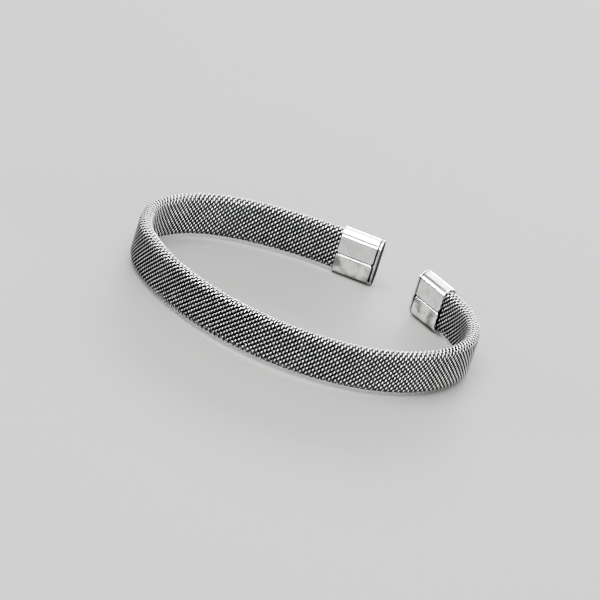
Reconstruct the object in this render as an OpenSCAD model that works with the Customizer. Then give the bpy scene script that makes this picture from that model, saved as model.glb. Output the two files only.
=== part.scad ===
// Open cuff bracelet: a flattened tube of steel wire mesh, bent to an oval that is open
// at one corner, with a closed metal cap over each end. Millimetres, +Z up, the middle of
// the oval over the origin, and the caps standing on Z = 0.

/* [Mesh band] */
// Height of the flattened mesh tube
band_h = 8; // [6:0.5:12]
// Thickness of the flattened mesh tube
band_t = 2.4; // [2:0.1:3]

/* [End caps] */
// Length of a cap, from its mouth to its closed end
cap_len = 7.6; // [7:0.1:12]
// Wall of the sheet that a cap is bent from
cap_wall = 0.35; // [0.2:0.05:0.4]
// Gap between the mesh and the inside of a cap, all round
cap_fit = 0.1; // [0.05:0.05:0.2]
// Depth that the mesh reaches into a cap
cap_grip = 5; // [3:0.5:5]

/* [Seam of the bent sheet] */
// Height of the seam above the table
seam_z = 4.1; // [3:0.1:6]
// Width of the seam
seam_gap = 0.16; // [0.1:0.02:0.3]
// Radius of the sheet's corners at the two ends of the seam
seam_corner = 0.45; // [0.2:0.05:0.8]

/* [End plates] */
// Thickness of the plate that closes a cap
plate_t = 0.35; // [0.3:0.05:0.8]
// Width of the groove between the sheet and the plate
groove = 0.3; // [0.15:0.05:0.5]
// Depth that the plate's neck reaches into the sheet
neck_depth = 1.2; // [0.6:0.1:1.5]
// Gap between the neck and the sheet, all round
neck_fit = 0.05; // [0.03:0.01:0.1]

/* [Hidden] */

// The bends of the band, one after the other, all turning the same way. Each starts where
// the one before it ends, in the same direction, so the band has no kink.
// Columns: radius of the middle line, angle turned.
BENDS = [
    [43.5, 24.3],
    [21.4, 100.2],
    [40.2, 45.7],
    [30.0, 27.5],
    [26.1, 63.7],
    [21.5, 61.1],
];
first_heading = 170.2;

edge_steps = 48;
past = 1;
// The band is swept in short flat steps: the angle turned in one, and the steps of a half round
turn_step = 4;
round_steps = 10;

bend_count = len(BENDS);
cap_t = band_t + 2 * (cap_wall + cap_fit);
cap_h = band_h + 2 * (cap_wall + cap_fit);
sleeve_len = cap_len - plate_t - groove;
neck_start = sleeve_len - neck_depth;

// Direction of the band where bend i starts, as an angle from +X
function heading(i) = i == 0 ? first_heading : heading(i - 1) + BENDS[i - 1][1];

// A point on a bend, or beside it: the direction of the band there is h
function on_bend(centre, r, h) = centre + r * [sin(h), -cos(h)];

// Where bend i starts, and the middle of its circle, counted from the start of bend 0
function bend_start(i) = i == 0
    ? [0, 0]
    : on_bend(bend_centre(i - 1), BENDS[i - 1][0], heading(i));
function bend_centre(i) = bend_start(i) - BENDS[i][0] * [sin(heading(i)), -cos(heading(i))];

// The outer side of the band, a point for each degree, which gives the middle of its box
outer_side = [
    for (i = [0 : bend_count - 1], a = [0 : BENDS[i][1]])
        on_bend(bend_centre(i), BENDS[i][0] + band_t / 2, heading(i) + a)
];
xs = [for (p = outer_side) p[0]];
ys = [for (p = outer_side) p[1]];
middle = [(min(xs) + max(xs)) / 2, (min(ys) + max(ys)) / 2];

// The middle line of the band, from the mesh's end in the left cap to its end in the right one.
// Columns: point on the line, direction of the band there.
function beside(i, x) =
    [bend_start(i) - middle + x * [cos(heading(i)), sin(heading(i))], heading(i)];
route = [
    beside(0, -cap_grip),
    for (i = [0 : bend_count - 1])
        let (steps = ceil(BENDS[i][1] / turn_step))
            for (k = [0 : steps - 1])
                let (h = heading(i) + BENDS[i][1] * k / steps)
                    [on_bend(bend_centre(i), BENDS[i][0], h) - middle, h],
    beside(bend_count, 0),
    beside(bend_count, cap_grip),
];

// Half rounds over and under flat sides. Columns: distance to the outer side, height.
band_section = [
    for (side = [0, 1], k = [0 : round_steps])
        let (a = 180 * (side + k / round_steps))
            [
                band_t / 2 * cos(a),
                cap_h / 2 + (0.5 - side) * (band_h - band_t) + band_t / 2 * sin(a),
            ]
];

// Puts its children where bend i starts, with +X along the band and +Y towards the wrist
module at_bend(i) {
    translate(bend_start(i) - middle)
        rotate([0, 0, heading(i)])
            children();
}

// Flat sides with a half round above and below, as a section across the band
module rounded_section(t, h) {
    translate([-t / 2, (cap_h - h + t) / 2])
        square([t, h - t]);
    for (z = [(cap_h - h + t) / 2, (cap_h + h - t) / 2])
        translate([0, z])
            circle(d = t, $fn = edge_steps);
}

// A straight stretch of that section, from x0 to x1 along the band
module straight(t, h, x0, x1) {
    translate([x0, 0, 0])
        rotate([90, 0, 90])
            linear_extrude(x1 - x0)
                rounded_section(t, h);
}

// What a round corner leaves of a square one
module corner_waste() {
    difference() {
        translate([-past, -seam_gap])
            square([seam_corner + past, seam_corner + seam_gap]);
        translate([seam_corner, seam_corner])
            circle(r = seam_corner, $fn = edge_steps);
        translate([seam_corner, -past])
            square([past, seam_corner + 2 * past]);
    }
}

// The open seam on the wrist side, with its four round corners
module seam_cut() {
    translate([0, cap_t / 2 + past, seam_z])
        rotate([90, 0, 0])
            linear_extrude(past + cap_wall + cap_fit) {
                translate([-past, -seam_gap / 2])
                    square([sleeve_len + 2 * past, seam_gap]);
                for (side = [0, 1], end = [0, 1])
                    translate([end * sleeve_len, (side - 0.5) * seam_gap])
                        mirror([end, 0])
                            mirror([0, 1 - side])
                                corner_waste();
            }
}

// The bent sheet of a cap: its mouth is at X = 0 and its closed end at +X
module sleeve() {
    difference() {
        straight(cap_t, cap_h, 0, sleeve_len);
        straight(cap_t - 2 * cap_wall, cap_h - 2 * cap_wall, -past, sleeve_len + past);
        seam_cut();
    }
}

// The plate that closes a cap, with the neck that holds it in the sheet
module end_plate() {
    inset = 2 * (cap_wall + neck_fit);
    straight(cap_t, cap_h, sleeve_len + groove, cap_len);
    straight(cap_t - inset, cap_h - inset, neck_start, sleeve_len + groove);
}

module mesh_band() {
    sides = len(band_section);
    last = len(route) - 1;
    points = [
        for (stop = route, p = band_section)
            [
                stop[0][0] + p[0] * sin(stop[1]),
                stop[0][1] - p[0] * cos(stop[1]),
                p[1],
            ]
    ];
    skin = [
        for (r = [0 : last - 1], j = [0 : sides - 1])
            let (k = (j + 1) % sides)
                [r * sides + j, r * sides + k, (r + 1) * sides + k, (r + 1) * sides + j]
    ];
    ends = [
        [for (j = [sides - 1 : -1 : 0]) j],
        [for (j = [0 : sides - 1]) last * sides + j],
    ];
    color("silver")
        polyhedron(points, concat(skin, ends));
}

module sleeve_left() {
    color("gainsboro")
        at_bend(0)
            mirror([1, 0, 0])
                sleeve();
}

module sleeve_right() {
    color("gainsboro")
        at_bend(bend_count)
            sleeve();
}

module end_plate_left() {
    color("dimgray")
        at_bend(0)
            mirror([1, 0, 0])
                end_plate();
}

module end_plate_right() {
    color("dimgray")
        at_bend(bend_count)
            end_plate();
}

mesh_band();
sleeve_left();
sleeve_right();
end_plate_left();
end_plate_right();
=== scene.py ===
import math

import bmesh
import bpy
import numpy as np
from mathutils import Matrix, Vector


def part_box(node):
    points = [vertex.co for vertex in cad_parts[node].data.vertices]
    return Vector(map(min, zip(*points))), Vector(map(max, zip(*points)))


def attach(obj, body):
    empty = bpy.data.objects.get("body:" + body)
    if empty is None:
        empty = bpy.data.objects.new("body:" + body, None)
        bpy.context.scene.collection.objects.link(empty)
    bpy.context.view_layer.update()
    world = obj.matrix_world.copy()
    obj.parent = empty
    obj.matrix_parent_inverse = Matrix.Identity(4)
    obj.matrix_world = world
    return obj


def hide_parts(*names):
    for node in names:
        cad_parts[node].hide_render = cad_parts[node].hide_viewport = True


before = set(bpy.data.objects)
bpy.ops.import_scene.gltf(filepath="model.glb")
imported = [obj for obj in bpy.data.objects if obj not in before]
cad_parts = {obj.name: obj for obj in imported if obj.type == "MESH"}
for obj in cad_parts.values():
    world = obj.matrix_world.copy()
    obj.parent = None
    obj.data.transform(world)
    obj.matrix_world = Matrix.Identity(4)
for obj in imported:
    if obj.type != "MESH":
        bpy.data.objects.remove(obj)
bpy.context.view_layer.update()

# A cuff bracelet: a flattened tube of steel wire mesh with a closed metal cap over each end.
# Lengths are in millimetres up to the moment that a mesh is made, and MM turns them into metres.
# Points of a mesh that are nearer than JOIN_WITHIN, in metres, are made one where that is asked.
MM = 0.001
JOIN_WITHIN = 1e-7

# The band's middle line in plan, as in the part's source: the radius of each bend and its turn
# in degrees, the heading where it begins, and the steps in which its box is measured
BENDS = ((43.5, 24.3), (21.4, 100.2), (40.2, 45.7), (30.0, 27.5), (26.1, 63.7), (21.5, 61.1))
FIRST_HEADING = 170.2
MEASURE_STEPS = 4000

# The band's section and the caps, as in the part's source
BAND_H = 8.0
BAND_T = 2.4
CAP_WALL = 0.35
CAP_FIT = 0.1
CAP_LEN = 7.6
CAP_GRIP = 5.0
CAP_T = BAND_T + 2 * (CAP_WALL + CAP_FIT)
CAP_H = BAND_H + 2 * (CAP_WALL + CAP_FIT)
MIDDLE_Z = CAP_H / 2
SEAM_Z = 4.1
SEAM_GAP = 0.16
SEAM_CORNER = 0.45
PLATE_T = 0.35
GROOVE = 0.3
NECK_DEPTH = 1.2
NECK_FIT = 0.05
SLEEVE_LEN = CAP_LEN - PLATE_T - GROOVE

# The wire mesh: flat coils of round wire that lie side by side round the section, run the whole
# length of the band and hook into each other. Every other coil is half a pitch behind. Height and
# depth are a coil's size round the section and into it, LEG_EASE straightens its legs, TUBE_TWIST
# is how far the rows climb on each millimetre, and ROW_RADIUS is where the rims' rows are spaced.
WIRE = 0.24
COIL_COUNT = 36
COIL_PITCH = 1.02
COIL_HEIGHT = 0.75
COIL_DEPTH = 0.66
LEG_EASE = 0.25
TUBE_TWIST = 0.0236
ROW_RADIUS = 0.95
TURN_STEPS = 12
WIRE_SIDES = 6
COIL_GROUPS = 5

# The wires' inner halves: one bumpy surface, painted dark as shade, this far under the skin,
# which stops short of the mesh's ends
INSIDE_DEPTH = 0.84
INSIDE_ENDS = 0.3
INSIDE_STEPS = 240

# The bent sheets: their worn edges, the slight dents left by the bending, the width over which
# the painted shade inside gets full, and how many worn edges wide the painted shade on the seam's
# upper lip is
SHEET_EDGE = 0.09
DENT = 0.012
SHEET_SHADE = 0.3
LIP_SHADE = 1.5

# The stops of a sheet's grid, round the cap and along it: in each border strip, and between them
STOPS_ROUND = (10, 112)
STOPS_ALONG = (12, 12)

# The worn edges of the end plates and of their necks, and the rows of rings on each
PLATE_EDGE = 0.1
NECK_EDGE = 0.05
EDGE_ROWS = 7

# Rings that keep the plates' flat sides flat, beside the corner at the neck and on the face,
# and the steps of a ring's outline, on a flat side and on a half round
CORNER_RING = 0.02
FACE_RING = 0.8
OUTLINE_STEPS = (12, 20)

# How much shade is painted on the plates' steel on the back and on the face, where it is painted up
# to the middle. Columns: distance from the worn edge, painted shade.
FACE_SHADE = 0.8
PLATE_BACK = ((0.1, 0.8), (0.03, 0.3))
PLATE_FACE = ((0.03, 0.0), (0.12, FACE_SHADE))

# The wire's colours: on top, and the painted shade where it dives under its neighbours and on its
# flanks
WIRE_BRIGHT = (0.86, 0.86, 0.85)
WIRE_SHADE_DEEP = (0.035, 0.035, 0.035)
WIRE_SHADE_FLANKS = (0.008, 0.008, 0.008)

# Where the painted shade of the dive and that of the flanks start and are full, along "sunk" and
# "flank", how much less sunk the upper rim is taken to be, as painted light, and how dark a smudge
# is
WIRE_DIVE = (0.0, 0.1)
WIRE_FLANK = (0.38, 0.92)
RIM_PAINTED_LIGHT = 0.08
WIRE_SMUDGED = 0.3

# Where painted shade starts to darken the wire all round in the caps, and the length over which it
# gets full
CAP_SHADE_REACH = (0.2, 0.6)

# The wire's roughness on top and on the flanks, and its drawn lines: depth in metres, strength
WIRE_ROUGH = (0.3, 0.55)
WIRE_LINES = (1e-5, 0.25)

# The inside of the mesh, painted dark as shade: its colours, roughness, where the painted shade
# round a bump starts and is full, and the bumps' height in metres and strength
INSIDE_SHADE_TOP = (0.03, 0.03, 0.031)
INSIDE_SHADE_DEEP = (0.004, 0.004, 0.004)
INSIDE_ROUGH = 0.5
INSIDE_BUMP = (0.1, 0.6)
INSIDE_RELIEF = (1e-4, 0.8)

# The caps' two finishes. Columns: name, colour, tint of what it mirrors at a grazing angle,
# roughness, and what a smudge adds to it.
SHEET_FINISH = ("polished steel", (0.95, 0.95, 0.94), (1.0, 1.0, 1.0), 0.1, 0.08)
PLATE_FINISH = ("plate steel", (0.8, 0.8, 0.79), (0.2, 0.2, 0.2), 0.09, 0.12)

# The caps' blotches, darker towards the bottom: their colour, full up to the first height, and
# weaker over the second
CAP_LOW_BLOTCH = (0.25, 0.235, 0.225)
BLOTCH_HEIGHTS = (3.4, 4.2)
BLOTCH_ABOVE = 0.3

# The caps' colour and roughness where shade is painted on them, the stray scratches, which are
# deeper than the fine lines, and the lines' depth in metres and strength
CAP_SHADE_COLOUR = (0.02, 0.02, 0.02)
SHADE_ROUGH = 0.4
SCRATCH_ROUGH = 0.28
SCRATCH_DEEP = 0.6
CAP_LINES = (4e-6, 0.35)

# The number of smudges and of hairlines to a metre, on the wire and on the caps
WIRE_WEAR = (700, 9000)
CAP_WEAR = (420, 16000)

# The shared wear: where a smudge starts and is full along its noise, how the hairlines are
# drawn out, and the slant, length, number to a metre and width of the scratches
SMUDGE_RANGE = (0.42, 0.68)
SMUDGE_DETAIL = 4
HAIRLINE_STRETCH = (0.03, 0.03, 1)
HAIRLINE_DETAIL = 3
SCRATCH_SLANT = (0.5, 0.4, 0.7)
SCRATCH_STRETCH = (25, 25, 1)
SCRATCH_COUNT = 1100
SCRATCH_DETAIL = 1
SCRATCH_WIDTH = 0.012

# The table, in metres
FLOOR_REACH = 3
FLOOR_TONE = 0.108
FLOOR_COLOUR = (FLOOR_TONE, FLOOR_TONE, 0.98 * FLOOR_TONE)
FLOOR_ROUGH = 0.6
FLOOR_GLOSS = 0.05

# The sky. Columns: height of the direction, brightness.
SKY = ((0.0, 0.03), (0.05, 0.03), (0.1, 1.3), (0.5, 1.3), (0.55, 0.08), (0.66, 0.08), (0.72, 3.5))

# The lamps, in metres and watts. Columns: name, width and height, power, place.
LAMPS = (
    ("key", (0.7, 0.6), 19, (-0.14, -0.14, 0.7)),
    ("front", (0.6, 0.4), 8, (-0.2, -0.36, 0.8)),
    ("low", (0.8, 0.16), 28, (0.0, -1.0, 0.17)),
    ("left", (0.5, 0.2), 16, (-1.0, -0.15, 0.22)),
    ("right", (0.5, 0.2), 12, (0.85, -0.5, 0.22)),
    ("back", (0.9, 0.2), 26, (0.2, 1.0, 0.25)),
    ("rim", (1.0, 0.35), 3, (-0.1, 0.75, 0.6)),
)

# The photograph's view: how far the eye looks down, tilt of the picture, and the lens. The
# point AIM_Z over the frame's middle lies AIM right of and above the middle of the picture.
EYE_HEIGHT_DEG = 21.55
PICTURE_TILT_DEG = 17.56
EYE_DISTANCE = 1300.0
PICTURE_PX = 600
FOCAL_PX = 7334.6
SENSOR = 36.0
AIM = (-0.383, -2.341)
AIM_Z = 0.45


def bends_of_line():
    """The middle line's tables: radius of each bend, heading, arc length and place at its start."""
    radius = np.array([b[0] for b in BENDS])
    turn = np.radians([b[1] for b in BENDS])
    heading = np.radians(FIRST_HEADING) + np.concatenate([[0], np.cumsum(turn)])
    length = np.concatenate([[0], np.cumsum(radius * turn)])
    chord = np.stack([np.diff(np.sin(heading)), -np.diff(np.cos(heading))], 1)
    start = np.concatenate([[[0, 0]], np.cumsum(radius[:, None] * chord, 0)])
    return radius, heading, length, start


RADIUS, HEADING, LENGTH, START = bends_of_line()
TOTAL = LENGTH[-1]


def middle_line(s):
    """The band's middle line at arc length s: arcs in the bends, straight past both ends.

    Gives the point, counted from the start of the first bend, and the way to the outer side.
    """
    inside = np.clip(s, 0, TOTAL)
    bend = np.clip(np.searchsorted(LENGTH, inside, side="right") - 1, 0, len(RADIUS) - 1)
    turned = HEADING[bend] + (inside - LENGTH[bend]) / RADIUS[bend]
    arc = np.stack(
        [
            np.sin(turned) - np.sin(HEADING[bend]),
            np.cos(HEADING[bend]) - np.cos(turned),
        ],
        -1,
    )
    ahead = np.stack([np.cos(turned), np.sin(turned)], -1)
    outward = np.stack([np.sin(turned), -np.cos(turned)], -1)
    point = START[bend] + RADIUS[bend][..., None] * arc + (s - inside)[..., None] * ahead
    return point, outward


def shift_to_frame():
    """The way from the middle of the line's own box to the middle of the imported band's box."""
    s = np.linspace(-CAP_GRIP, TOTAL + CAP_GRIP, MEASURE_STEPS)
    point, outward = middle_line(s)
    skin = point + BAND_T / 2 * outward
    low, high = (np.array(corner)[:2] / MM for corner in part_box("mesh_band"))
    return (low + high) / 2 - (skin.min(0) + skin.max(0)) / 2


PLAN_SHIFT = shift_to_frame()


def place(s, offset, height):
    """The point beside the middle line at arc length s, offset to the outer side, at a height."""
    point, outward = middle_line(s)
    plan = point + PLAN_SHIFT + offset[..., None] * outward
    return np.concatenate([plan, height[..., None]], -1), outward


def round_section(q, depth, thick, high, run):
    """A rounded section's place at arc length q, from the foot of the outer face.

    The arc length is counted where the skin's half rounds have the radius run. Gives the
    distance to the outer side, the height, and the angle of the outward normal.
    """
    flat = high - thick
    half = flat + math.pi * run
    side = np.floor(q / half)
    rest = q - side * half
    along = np.clip(rest, 0, flat)
    angle = side * math.pi + (rest - along) / run
    sign = 1 - 2 * np.mod(side, 2)
    reach = thick / 2 - depth
    height = MIDDLE_Z + sign * (along - flat / 2) + reach * np.sin(angle)
    return reach * np.cos(angle), height, angle


def unit(v):
    """The same directions, each of length 1."""
    return v / np.linalg.norm(v, axis=-1, keepdims=True)


def coil_lines(number):
    """Centre lines of the coils with these numbers, from cap to cap.

    Gives their points, the skin's normals there, the band's own directions, the depths, and the
    places along the band.

    At angle a of its turns a coil lies COIL_HEIGHT / 2 times sin a round the section from its
    axis, COIL_DEPTH / 2 times (1 - cos a) under the skin, and has moved along the band by
    COIL_PITCH for each turn, eased by LEG_EASE sin 2a. The axis climbs by TUBE_TWIST.
    """
    girth = 2 * (BAND_H - BAND_T) + 2 * math.pi * ROW_RADIUS
    room = TOTAL + 2 * (CAP_GRIP - WIRE)
    turns = int(room / COIL_PITCH) - 1
    a = np.arange(turns * TURN_STEPS + 1) * 2 * math.pi / TURN_STEPS
    behind = (number % 2)[:, None] * COIL_PITCH / 2
    first = -CAP_GRIP + WIRE + behind
    s = first + COIL_PITCH / (2 * math.pi) * (a - LEG_EASE * np.sin(2 * a))
    q = (number[:, None] + 0.5) * girth / COIL_COUNT + TUBE_TWIST * s
    q = np.mod(q + COIL_HEIGHT / 2 * np.sin(a), girth)
    depth = WIRE / 2 + COIL_DEPTH / 2 * (1 - np.cos(a)) + 0 * q
    offset, height, angle = round_section(q, depth, BAND_T, BAND_H, ROW_RADIUS)
    point, outward = place(s, offset, height)
    level = np.concatenate([outward, np.zeros(outward.shape[:-1] + (1,))], -1)
    up = np.array([0.0, 0.0, 1.0])
    normal = np.cos(angle)[..., None] * level + np.sin(angle)[..., None] * up
    along = np.cross(up, level)
    return point, normal, along, depth, s


def round_wires(line, normal, radius, sides):
    """Tubes round lines: at each point a ring of sides points across the line.

    A ring's first point looks along the given normal, made square to the line. Gives the
    points, and the directions in which they look.
    """
    ahead = unit(np.gradient(line, axis=1))
    across = unit(normal - (normal * ahead).sum(-1, keepdims=True) * ahead)
    side = np.cross(ahead, across)
    turn = np.arange(sides) * 2 * math.pi / sides
    ring = (
        np.cos(turn)[:, None] * across[:, :, None, :]
        + np.sin(turn)[:, None] * side[:, :, None, :]
    )
    return line[:, :, None, :] + radius * ring, ring


def grid_faces(rows, columns, closed):
    """Quads of a grid of points, counted row by row; closed joins each row's end to its start."""
    row = np.arange(rows - 1)[:, None] * columns
    here = np.arange(columns if closed else columns - 1)[None, :]
    beside = (here + 1) % columns
    corners = [row + here, row + beside, row + columns + beside, row + columns + here]
    return np.stack([corner.ravel() for corner in corners], -1)


def new_object(name, data):
    """An object of this mesh, lamp or camera, in the scene."""
    made = bpy.data.objects.new(name, data)
    bpy.context.scene.collection.objects.link(made)
    return made


def make_mesh(name, points, faces, material, values, merge=False):
    """A smooth closed piece from points in millimetres and arrays of faces, each of one length.

    Values are arrays of a number for each point, which the material reads by their titles. The
    faces are turned over if the mesh's volume, the sum of each face's own cone from the origin,
    comes out negative. Merge joins the points that lie on each other.
    """
    first, second, third = (points[np.concatenate([f[:, i] for f in faces])] for i in range(3))
    last = np.concatenate([points[f[:, -1]] for f in faces])
    volume = (first * (np.cross(second, third) + np.cross(third, last))).sum()
    if volume < 0:
        faces = [f[:, ::-1] for f in faces]
    corners = np.concatenate([f.ravel() for f in faces]).astype(np.int32)
    length = np.concatenate([np.full(len(f), f.shape[1]) for f in faces])
    start = np.concatenate([[0], np.cumsum(length)[:-1]]).astype(np.int32)
    mesh = bpy.data.meshes.new(name)
    mesh.vertices.add(len(points))
    mesh.vertices.foreach_set("co", (points * MM).astype(np.float32).ravel())
    mesh.loops.add(len(corners))
    mesh.loops.foreach_set("vertex_index", corners)
    mesh.polygons.add(len(length))
    mesh.polygons.foreach_set("loop_start", start)
    mesh.update(calc_edges=True)
    for title, value in values.items():
        kept = mesh.attributes.new(title, "FLOAT", "POINT")
        kept.data.foreach_set("value", value.ravel().astype(np.float32))
    if merge:
        work = bmesh.new()
        work.from_mesh(mesh)
        bmesh.ops.remove_doubles(work, verts=work.verts, dist=JOIN_WITHIN)
        work.to_mesh(mesh)
        work.free()
    mesh.polygons.foreach_set("use_smooth", np.ones(len(mesh.polygons), bool))
    mesh.materials.append(material)
    return new_object(name, mesh)


def wire_mesh(material):
    """The coils from cap to cap, in COIL_GROUPS pieces of neighbouring coils.

    Three values are kept at each point: how deep its wire lies there, from 0 on top to 1 at the
    bottom of the weave; how far it looks along the band or inwards, from 0 to 1, and more
    inside the caps, where it carries their painted shade; and how high the skin looks, from 0 on
    the flat sides to 1 on the upper rim.
    """
    made = []
    for i, number in enumerate(np.array_split(np.arange(COIL_COUNT), COIL_GROUPS)):
        line, normal, along, depth, s = coil_lines(number)
        points, look = round_wires(line, normal, WIRE / 2, WIRE_SIDES)
        # Painted shade on the wire inside the caps, added to "flank"
        in_cap_shade = np.clip((np.maximum(-s, s - TOTAL)[0] - CAP_SHADE_REACH[0]) / CAP_SHADE_REACH[1], 0, 1)
        coils, rings, sides, _ = points.shape
        start = (np.arange(coils) * rings * sides)[:, None, None]
        skin = (grid_faces(rings, sides, closed=True)[None] + start).reshape(-1, 4)
        end = np.arange(sides)
        ends = np.stack([end[::-1], end + (rings - 1) * sides])[None] + start
        out = (look * normal[:, :, None]).sum(-1)
        # Painted shade on the wire's sides that look along the band or inwards
        flank = np.abs((look * along[:, :, None]).sum(-1)) + np.maximum(-out, 0)
        flank = flank + in_cap_shade[None, :, None]
        sunk = (depth[:, :, None] - WIRE / 2) / COIL_DEPTH + 0 * out
        rim = np.maximum(normal[:, :, None, 2], 0) + 0 * out
        faces = [skin, ends.reshape(-1, sides)]
        values = {"sunk": sunk, "flank": flank, "rim": rim}
        made.append(
            make_mesh(f"mesh_coils_{i + 1}", points.reshape(-1, 3), faces, material, values)
        )
    return made


def section_stops(thick, high, flat_steps, round_steps):
    """Arc lengths round a section from the foot of its outer face, the same on both faces."""
    flat = high - thick
    bow = math.pi * thick / 2
    face = flat * np.arange(flat_steps) / flat_steps
    rounding = flat + bow * np.arange(round_steps) / round_steps
    side = np.concatenate([face, rounding])
    return np.concatenate([side, flat + bow + side])


def swept_rings(name, rings, thick, high, where, material):
    """A closed surface of rings round the band, each an outline at an inset and at a place.

    The rings are rows of inset, place along the band, and how much shade is painted on the steel.
    An inset of half the thickness folds the outline onto its own middle line, which closes the
    surface.
    """
    q = section_stops(thick, high, *OUTLINE_STEPS)[None]
    inset, s, painted_shade = rings[:, :1], where(rings[:, 1:2]), rings[:, 2:]
    offset, height, _ = round_section(q, inset + 0 * q, thick, high, thick / 2)
    points, _ = place(s + 0 * q, offset, height)
    faces = grid_faces(len(rings), q.size, closed=True)
    values = {"painted_shade": painted_shade + 0 * q}
    return make_mesh(name, points.reshape(-1, 3), [faces], material, values, merge=True)


def mesh_inside(material):
    """The inner halves of the wires, painted dark as shade: the mesh tube's section, INSIDE_DEPTH
    smaller all round.
    """
    along = np.linspace(INSIDE_ENDS - CAP_GRIP, TOTAL + CAP_GRIP - INSIDE_ENDS, INSIDE_STEPS)
    rings = np.stack([np.full_like(along, INSIDE_DEPTH), along, np.ones_like(along)], -1)
    middle = BAND_T / 2
    rings = np.concatenate([[[middle, along[0], 1]], rings, [[middle, along[-1], 1]]])
    return swept_rings("mesh_inside", rings, BAND_T, BAND_H, lambda s: s, material)


def edge_stops(total, near, close, rest):
    """Places from 0 to total: close ones within near of both ends, and the rest between."""
    first = near * (1 - np.cos(np.linspace(0, math.pi / 2, close)))
    middle = np.linspace(near, total - near, rest)[1:-1]
    return np.concatenate([first, middle, total - first[::-1]])


def rounded_off(distance, radius):
    """How far a rounded edge lies back from the face, at a distance from its border."""
    short = np.clip(radius - distance, 0, radius)
    return radius - np.sqrt(radius**2 - short**2)


def sleeve(name, where, phase, material):
    """The bent sheet of a cap: a rectangle with round corners, wrapped round the section.

    Its first side is e, the way round from the seam's lower lip, and its second is x, the way
    from the cap's mouth. Each row of x is shortened at both ends by the round corner. The two
    skins lie 0 and CAP_WALL under the section's outline, and come nearer to each other within
    SHEET_EDGE of the border. Both are moved inwards by DENT / 2 times 1 plus a product of two
    slow waves of e and x. Shade is painted dark inside the cap and on the worn edge of the seam's
    upper lip.
    """
    flat = CAP_H - CAP_T
    girth = 2 * flat + math.pi * CAP_T
    lip = girth / 2 + MIDDLE_Z + flat / 2 - SEAM_Z + SEAM_GAP / 2
    width = girth - SEAM_GAP
    e, x = np.meshgrid(
        edge_stops(width, SEAM_CORNER, *STOPS_ROUND),
        edge_stops(SLEEVE_LEN, SEAM_CORNER, *STOPS_ALONG),
        indexing="ij",
    )
    cut = rounded_off(np.minimum(e, width - e), SEAM_CORNER)
    x = cut + x * (1 - 2 * cut / SLEEVE_LEN)
    past_e = np.abs(e - width / 2) - (width / 2 - SEAM_CORNER)
    past_x = np.abs(x - SLEEVE_LEN / 2) - (SLEEVE_LEN / 2 - SEAM_CORNER)
    beyond = np.hypot(np.maximum(past_e, 0), np.maximum(past_x, 0))
    border = SEAM_CORNER - beyond - np.minimum(np.maximum(past_e, past_x), 0)
    worn = rounded_off(border, SHEET_EDGE)
    turn = 2 * math.pi * e / width + phase
    dent = DENT / 2 * (1 + np.sin(3 * turn + 0.9 * x) * np.cos(0.6 * x + 2 * turn + phase))
    q = np.mod(lip + e, girth)
    skins = []
    for depth in (worn + dent, CAP_WALL - worn + dent):
        offset, height, _ = round_section(q, depth, CAP_T, CAP_H, CAP_T / 2)
        skins.append(place(where(x), offset, height)[0])
    rows, columns = e.shape
    quads = grid_faces(rows, columns, closed=False)
    index = np.arange(rows * columns).reshape(rows, columns)
    loop = np.concatenate([index[0, :-1], index[:-1, -1], index[-1, :0:-1], index[:0:-1, 0]])
    ahead = np.roll(loop, -1)
    inner = rows * columns
    strip = np.stack([ahead, loop, loop + inner, ahead + inner], -1)
    faces = np.concatenate([quads, quads[:, ::-1] + inner, strip])
    # Painted shade on the inner skin, full from SHEET_SHADE past the worn edge
    under = np.clip((border - SHEET_EDGE) / SHEET_SHADE, 0, 1)
    # Painted shade on the worn edge of the seam's upper lip, which faces down at the dark gap
    lip_shade = np.clip(LIP_SHADE - border / SHEET_EDGE, 0, 1) * (e > width - SEAM_CORNER)
    values = {"painted_shade": np.concatenate([lip_shade, under])}
    return make_mesh(name, np.concatenate(skins).reshape(-1, 3), [faces], material, values)


def quarter_round(inset, x, radius, way, painted_shade):
    """Rows of inset, place and painted shade on a quarter round, which ends on the side at inset.

    With a way of 1 it goes from the face at x up to the side, and with -1 from the side down to
    the face at x.
    """
    a = np.linspace(0, math.pi / 2, EDGE_ROWS)
    rows = np.stack(
        [
            inset + radius * (1 - np.sin(a)),
            x + way * radius * (1 - np.cos(a)),
            painted_shade + 0 * a,
        ],
        -1,
    )
    return rows[::way]


def end_plate(name, where, material):
    """The plate that closes a cap: its outline carried along, with a smaller neck behind it.

    The rings go from the middle of the neck's end, along the neck, over the rim of the plate
    and across its face to the middle again.
    """
    neck = CAP_WALL + NECK_FIT
    start = SLEEVE_LEN - NECK_DEPTH
    back = SLEEVE_LEN + GROOVE
    middle = CAP_T / 2
    rings = np.concatenate(
        [
            # Third column: the painted shade, full on the neck and strong on the plate's back in
            # the groove
            [[middle, start, 1], [neck + 3 * NECK_EDGE, start, 1]],
            quarter_round(neck, start, NECK_EDGE, 1, 1),
            [[neck, back - CORNER_RING, 1], [neck, back, 1], [neck - CORNER_RING, back, 1]],
            [[PLATE_EDGE + inwards, back, dull] for inwards, dull in PLATE_BACK],
            quarter_round(0, back, PLATE_EDGE, 1, 0),
            quarter_round(0, CAP_LEN, PLATE_EDGE, -1, 0),
            # Painted shade across the plate's face, from just inside the rim to the middle
            [[PLATE_EDGE + inwards, CAP_LEN, dull] for inwards, dull in PLATE_FACE],
            [[FACE_RING, CAP_LEN, FACE_SHADE], [middle, CAP_LEN, FACE_SHADE]],
        ]
    )
    return swept_rings(name, rings, CAP_T, CAP_H, where, material)


def lamp(name, size, power, where):
    """A soft rectangular lamp at where, turned to the middle of the frame."""
    data = bpy.data.lights.new(name, "AREA")
    data.shape = "RECTANGLE"
    data.size, data.size_y = size
    data.energy = power
    light = new_object(name, data)
    light.location = where
    light.rotation_mode = "QUATERNION"
    light.rotation_quaternion = Vector(where).to_track_quat("Z", "Y")


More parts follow.
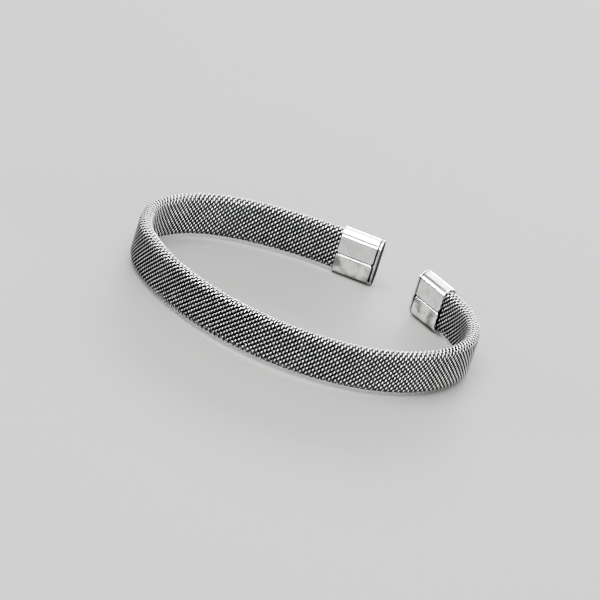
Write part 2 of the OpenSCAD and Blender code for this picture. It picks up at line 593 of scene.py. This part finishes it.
def camera():
    """A pinhole camera at the photograph's place, from the eye's height, tilt and distance."""
    el = math.radians(EYE_HEIGHT_DEG)
    tilt = math.radians(PICTURE_TILT_DEG)
    level = np.array(
        [[1, 0, 0], [0, math.sin(el), math.cos(el)], [0, math.cos(el), -math.sin(el)]]
    )
    turn = np.array(
        [[math.cos(tilt), math.sin(tilt), 0], [-math.sin(tilt), math.cos(tilt), 0], [0, 0, 1]]
    )
    axes = turn @ level
    eye = -axes.T @ np.array([*AIM, EYE_DISTANCE]) + np.array([0, 0, AIM_Z])
    data = bpy.data.cameras.new("camera")
    data.sensor_width = SENSOR
    data.lens = FOCAL_PX / PICTURE_PX * SENSOR
    cam = new_object("camera", data)
    placed = np.eye(4)
    placed[:3, :3] = np.stack([axes[0], axes[1], -axes[2]], 1)
    placed[:3, 3] = eye * MM
    cam.matrix_world = Matrix(placed.tolist())
    bpy.context.scene.camera = cam


def give(tree, entry, value):
    """Sets a node's entry to a number, vector or colour, or links another node's output to it."""
    if isinstance(value, bpy.types.NodeSocket):
        tree.links.new(value, entry)
    elif entry.type == "RGBA":
        entry.default_value = (*value, 1)
    else:
        entry.default_value = value


def node(tree, kind, entries, **settings):
    """A new node with these settings of its own, and these entries by title or number."""
    made = tree.nodes.new(kind)
    for title, value in settings.items():
        setattr(made, title, value)
    for title, value in entries.items():
        give(tree, made.inputs[title], value)
    return made


def own_place(tree):
    """The object's own coordinates, in metres."""
    return node(tree, "ShaderNodeTexCoord", {}).outputs["Object"]


def kept_value(tree, title):
    """The value that the mesh keeps at its points under this title."""
    return node(tree, "ShaderNodeAttribute", {}, attribute_name=title).outputs["Fac"]


def noise(tree, vector, count, detail):
    """Noise with this count of lumps to a metre."""
    entries = {"Vector": vector, "Scale": count, "Detail": detail}
    return node(tree, "ShaderNodeTexNoise", entries).outputs["Fac"]


def eased(tree, source, low, high, to_low=0.0, to_high=1.0):
    """The source's value between low and high, carried smoothly to the range given."""
    entries = {"Value": source, "From Min": low, "From Max": high}
    entries.update({"To Min": to_low, "To Max": to_high})
    made = node(tree, "ShaderNodeMapRange", entries, interpolation_type="SMOOTHSTEP")
    return made.outputs["Result"]


def joined(tree, operation, first, second=0.0):
    """Two values put together by a plain operation; the second may be a number."""
    return node(tree, "ShaderNodeMath", {0: first, 1: second}, operation=operation).outputs[0]


def blended(tree, mask, first, second):
    """A colour that goes from the first to the second as the mask goes from 0 to 1."""
    entries = {0: mask, "A": first, "B": second}
    return node(tree, "ShaderNodeMix", entries, data_type="RGBA").outputs["Result"]


def bumped(tree, shader, height, distance, strength):
    """Lets a height in units of distance, in metres, bend the shader's normals."""
    entries = {"Height": height, "Distance": distance, "Strength": strength}
    give(tree, shader.inputs["Normal"], node(tree, "ShaderNodeBump", entries).outputs["Normal"])


def wear_group():
    """Wear of polished steel: soft smudges, hairlines along the band, and short stray scratches.

    All are noise on the object's own coordinates. For hairlines it is drawn out level. For
    scratches it is a thin band of values of a noise drawn out along a slant, and they lie
    where the steel is smudged.
    """
    group = bpy.data.node_groups.new("steel wear", "ShaderNodeTree")
    for title in ("Smudge count", "Hairline count"):
        group.interface.new_socket(title, in_out="INPUT", socket_type="NodeSocketFloat")
    for title in ("Smudge", "Hairline", "Scratch"):
        group.interface.new_socket(title, in_out="OUTPUT", socket_type="NodeSocketFloat")
    counts = node(group, "NodeGroupInput", {}).outputs
    point = own_place(group)

    smudge = noise(group, point, counts["Smudge count"], SMUDGE_DETAIL)
    smudged = eased(group, smudge, *SMUDGE_RANGE)

    entries = {"Vector": point, "Scale": HAIRLINE_STRETCH}
    drawn = node(group, "ShaderNodeMapping", entries).outputs["Vector"]
    hairline = noise(group, drawn, counts["Hairline count"], HAIRLINE_DETAIL)

    entries = {"Vector": point, "Rotation": SCRATCH_SLANT, "Scale": SCRATCH_STRETCH}
    slanted = node(group, "ShaderNodeMapping", entries, vector_type="TEXTURE").outputs["Vector"]
    stray = noise(group, slanted, SCRATCH_COUNT, SCRATCH_DETAIL)
    off = joined(group, "ABSOLUTE", joined(group, "SUBTRACT", stray, 0.5))
    line = eased(group, off, 0.0, SCRATCH_WIDTH, 1, 0)
    scratch = joined(group, "MULTIPLY", line, smudged)
    node(group, "NodeGroupOutput", {"Smudge": smudged, "Hairline": hairline, "Scratch": scratch})
    return group


def steel(name, colour, roughness):
    """A steel with one colour and roughness to begin with. Gives it, its tree and its shader."""
    material = bpy.data.materials.new(name)
    material.use_nodes = True
    tree = material.node_tree
    shader = tree.nodes["Principled BSDF"]
    give(tree, shader.inputs["Base Color"], colour)
    give(tree, shader.inputs["Roughness"], roughness)
    give(tree, shader.inputs["Metallic"], 1)
    return material, tree, shader


def worn_by(tree, wear, smudge_count, hairline_count):
    """The shared wear placed in a material, with its own counts."""
    entries = {"Smudge count": smudge_count, "Hairline count": hairline_count}
    return node(tree, "ShaderNodeGroup", entries, node_tree=wear).outputs


def wire_steel(wear):
    """Drawn steel wire: bright on top, with painted shade down its flanks and where it dives.

    On the upper rim the painted shade of the dive starts a little lower: painted light there.
    """
    material, tree, shader = steel("wire steel", WIRE_BRIGHT, WIRE_ROUGH[0])
    marks = worn_by(tree, wear, *WIRE_WEAR)
    # Painted light: the upper rim counts as less sunk, so it comes out lighter
    rim_lit = joined(tree, "MULTIPLY", kept_value(tree, "rim"), RIM_PAINTED_LIGHT)
    sunk = joined(tree, "SUBTRACT", kept_value(tree, "sunk"), rim_lit)
    smudged = joined(tree, "MULTIPLY", marks["Smudge"], WIRE_SMUDGED)
    # Painted shade where the wire dives under its neighbours, joined with the smudges
    low = joined(tree, "MAXIMUM", eased(tree, sunk, *WIRE_DIVE), smudged)
    # Painted shade down the flanks
    dark = eased(tree, kept_value(tree, "flank"), *WIRE_FLANK)
    colour = blended(tree, dark, blended(tree, low, WIRE_BRIGHT, WIRE_SHADE_DEEP), WIRE_SHADE_FLANKS)
    give(tree, shader.inputs["Base Color"], colour)
    give(tree, shader.inputs["Roughness"], eased(tree, dark, 0, 1, *WIRE_ROUGH))
    bumped(tree, shader, marks["Hairline"], *WIRE_LINES)
    return material


def inside_painted_shade():
    """The inner halves of the wires in painted shade, as bumps half a coil's pitch apart, darker
    between the bumps.
    """
    material, tree, shader = steel("inner wires, painted shade", WIRE_SHADE_FLANKS, INSIDE_ROUGH)
    entries = {"Vector": own_place(tree), "Scale": 2 / COIL_PITCH / MM}
    off = node(tree, "ShaderNodeTexVoronoi", entries).outputs["Distance"]
    # Painted shade round each bump, in the hollows between them
    tone = eased(tree, off, *INSIDE_BUMP)
    give(tree, shader.inputs["Base Color"], blended(tree, tone, INSIDE_SHADE_TOP, INSIDE_SHADE_DEEP))
    bumped(tree, shader, joined(tree, "MULTIPLY", off, -1), *INSIDE_RELIEF)
    return material


def polished_steel(wear, name, colour, grazing, roughness, hazy):
    """Mirror polished steel: hazier where it is smudged, finely lined, with stray scratches; its
    blotches are darker towards the bottom, and shade is painted dark where the mesh's value says
    so.
    """
    material, tree, shader = steel(name, colour, roughness)
    give(tree, shader.inputs["Specular Tint"], grazing)
    marks = worn_by(tree, wear, *CAP_WEAR)
    # Painted shade: this value of the mesh turns the steel dark and rough where light is taken not
    # to reach
    painted_shade = kept_value(tree, "painted_shade")
    split = node(tree, "ShaderNodeSeparateXYZ", {0: own_place(tree)})
    low, high = (height * MM for height in BLOTCH_HEIGHTS)
    # The blotches are full low on the cap and weaker higher up: darker towards the bottom
    lower = eased(tree, split.outputs["Z"], low, high, 1.0, BLOTCH_ABOVE)
    smudged = joined(tree, "MULTIPLY", marks["Smudge"], lower)
    worn = blended(tree, smudged, colour, CAP_LOW_BLOTCH)
    give(tree, shader.inputs["Base Color"], blended(tree, painted_shade, worn, CAP_SHADE_COLOUR))
    rough = eased(tree, marks["Smudge"], 0, 1, roughness, roughness + hazy)
    for mark, mark_rough in ((marks["Scratch"], SCRATCH_ROUGH), (painted_shade, SHADE_ROUGH)):
        rough = joined(tree, "MAXIMUM", rough, joined(tree, "MULTIPLY", mark, mark_rough))
    give(tree, shader.inputs["Roughness"], rough)
    scratched = joined(tree, "MULTIPLY", marks["Scratch"], SCRATCH_DEEP)
    lines = joined(tree, "SUBTRACT", marks["Hairline"], scratched)
    bumped(tree, shader, lines, *CAP_LINES)
    return material


def floor():
    """The pale table that the bracelet lies on, as a part of the stage."""
    mesh = bpy.data.meshes.new("floor")
    corners = ((-1, -1), (1, -1), (1, 1), (-1, 1))
    points = [(FLOOR_REACH * x, FLOOR_REACH * y, 0) for x, y in corners]
    mesh.from_pydata(points, [], [(0, 1, 2, 3)])
    material = bpy.data.materials.new("pale table")
    material.use_nodes = True
    tree = material.node_tree
    shader = tree.nodes["Principled BSDF"]
    give(tree, shader.inputs["Base Color"], FLOOR_COLOUR)
    give(tree, shader.inputs["Roughness"], FLOOR_ROUGH)
    give(tree, shader.inputs["Specular IOR Level"], FLOOR_GLOSS)
    mesh.materials.append(material)
    new_object("floor", mesh)


def studio():
    """The room's light in level bands, by the height of the direction.

    It is nearly dark at eye level, light over it, dark again above that, and brightest overhead.
    """
    world = bpy.data.worlds.new("studio")
    world.use_nodes = True
    tree = world.node_tree
    direction = node(tree, "ShaderNodeTexCoord", {}).outputs["Generated"]
    split = node(tree, "ShaderNodeSeparateXYZ", {0: direction})
    sky = node(tree, "ShaderNodeValToRGB", {"Fac": split.outputs["Z"]})
    while len(sky.color_ramp.elements) < len(SKY):
        sky.color_ramp.elements.new(0.5)
    for i, (height, light) in enumerate(SKY):
        sky.color_ramp.elements[i].position = height
        sky.color_ramp.elements[i].color = (light, light, light, 1)
    give(tree, tree.nodes["Background"].inputs["Color"], sky.outputs["Color"])
    bpy.context.scene.world = world


def stand_for(piece, replaced):
    """Ties a piece to the frame: it rides with the body, and stands for the node replaced."""
    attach(piece, "root")
    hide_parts(replaced)


# The eye, the table and the light
camera()
floor()
studio()
for row in LAMPS:
    lamp(*row)
bpy.context.scene.view_settings.view_transform = "AgX"
bpy.context.scene.view_settings.look = "AgX - Medium High Contrast"

# The mesh
wear = wear_group()
for piece in wire_mesh(wire_steel(wear)):
    stand_for(piece, "mesh_band")
stand_for(mesh_inside(inside_painted_shade()), "mesh_band")

# The caps. Columns: side, arc length of the middle line at x from the cap's mouth, phase of its
# dents.
CAPS = (("left", lambda x: -x, 0.4), ("right", lambda x: TOTAL + x, 2.1))
sheet_finish = polished_steel(wear, *SHEET_FINISH)
plate_finish = polished_steel(wear, *PLATE_FINISH)
for side, where, phase in CAPS:
    sheet = sleeve(f"cap_sheet_{side}", where, phase, sheet_finish)
    stand_for(sheet, f"sleeve_{side}")
    plate = end_plate(f"cap_plate_{side}", where, plate_finish)
    stand_for(plate, f"end_plate_{side}")
